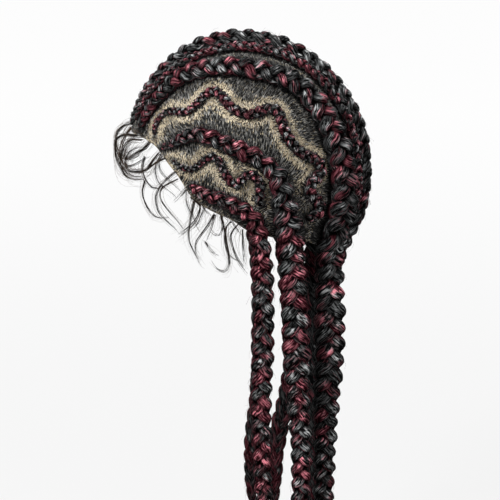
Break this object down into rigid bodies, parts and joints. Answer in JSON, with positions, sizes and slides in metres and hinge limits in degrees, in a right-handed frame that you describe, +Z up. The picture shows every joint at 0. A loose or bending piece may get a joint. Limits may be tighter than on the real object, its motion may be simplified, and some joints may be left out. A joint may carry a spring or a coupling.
{
  "type": "braid wig",
  "caption": "Cornrow wig: a thin lace cap with large and thin zigzag cornrows that hang on behind the ears and nape as thick plaits, black mixed with burgundy.",
  "frame": {"origin": "centre of the head that fills the cap, level with the brow's sides, on the middle line", "axes": "+X to the wearer's left, -Y the way the wearer faces, +Z up through the crown"},
  "size_m": [0.1794, 0.2049, 0.4553],
  "materials": {
    "lace": "fine beige lace, matt",
    "crown_cornrow_hair": "black braided hair, soft gloss",
    "crown_plait_hair": "black braided hair, soft gloss",
    "upper_thin_cornrow_left_hair": "black braided hair, soft gloss",
    "upper_cornrow_left_hair": "black mixed with burgundy braided hair, soft gloss",
    "rear_plait_left_hair": "black braided hair, soft gloss",
    "upper_zigzag_cornrow_left_hair": "black mixed with burgundy braided hair, soft gloss",
    "side_cornrow_left_hair": "black mixed with burgundy braided hair, soft gloss",
    "middle_plait_left_hair": "black mixed with burgundy braided hair, soft gloss",
    "lower_zigzag_cornrow_left_hair": "black braided hair, soft gloss",
    "hairline_cornrow_left_hair": "black mixed with burgundy braided hair, soft gloss",
    "front_plait_left_hair": "black mixed with burgundy braided hair, soft gloss",
    "upper_thin_cornrow_right_hair": "black braided hair, soft gloss",
    "upper_cornrow_right_hair": "black mixed with burgundy braided hair, soft gloss",
    "rear_plait_right_hair": "black braided hair, soft gloss",
    "upper_zigzag_cornrow_right_hair": "black mixed with burgundy braided hair, soft gloss",
    "side_cornrow_right_hair": "black mixed with burgundy braided hair, soft gloss",
    "middle_plait_right_hair": "black mixed with burgundy braided hair, soft gloss",
    "lower_zigzag_cornrow_right_hair": "black braided hair, soft gloss",
    "hairline_cornrow_right_hair": "black mixed with burgundy braided hair, soft gloss",
    "front_plait_right_hair": "black mixed with burgundy braided hair, soft gloss"
  },
  "bodies": {
    "root": {"lace_cap": "lace", "crown_cornrow": "crown_cornrow_hair", "crown_plait": "crown_plait_hair", "upper_thin_cornrow_left": "upper_thin_cornrow_left_hair", "upper_cornrow_left": "upper_cornrow_left_hair", "rear_plait_left": "rear_plait_left_hair", "upper_zigzag_cornrow_left": "upper_zigzag_cornrow_left_hair", "side_cornrow_left": "side_cornrow_left_hair", "middle_plait_left": "middle_plait_left_hair", "lower_zigzag_cornrow_left": "lower_zigzag_cornrow_left_hair", "hairline_cornrow_left": "hairline_cornrow_left_hair", "front_plait_left": "front_plait_left_hair", "upper_thin_cornrow_right": "upper_thin_cornrow_right_hair", "upper_cornrow_right": "upper_cornrow_right_hair", "rear_plait_right": "rear_plait_right_hair", "upper_zigzag_cornrow_right": "upper_zigzag_cornrow_right_hair", "side_cornrow_right": "side_cornrow_right_hair", "middle_plait_right": "middle_plait_right_hair", "lower_zigzag_cornrow_right": "lower_zigzag_cornrow_right_hair", "hairline_cornrow_right": "hairline_cornrow_right_hair", "front_plait_right": "front_plait_right_hair"}
  },
  "joints": []
}
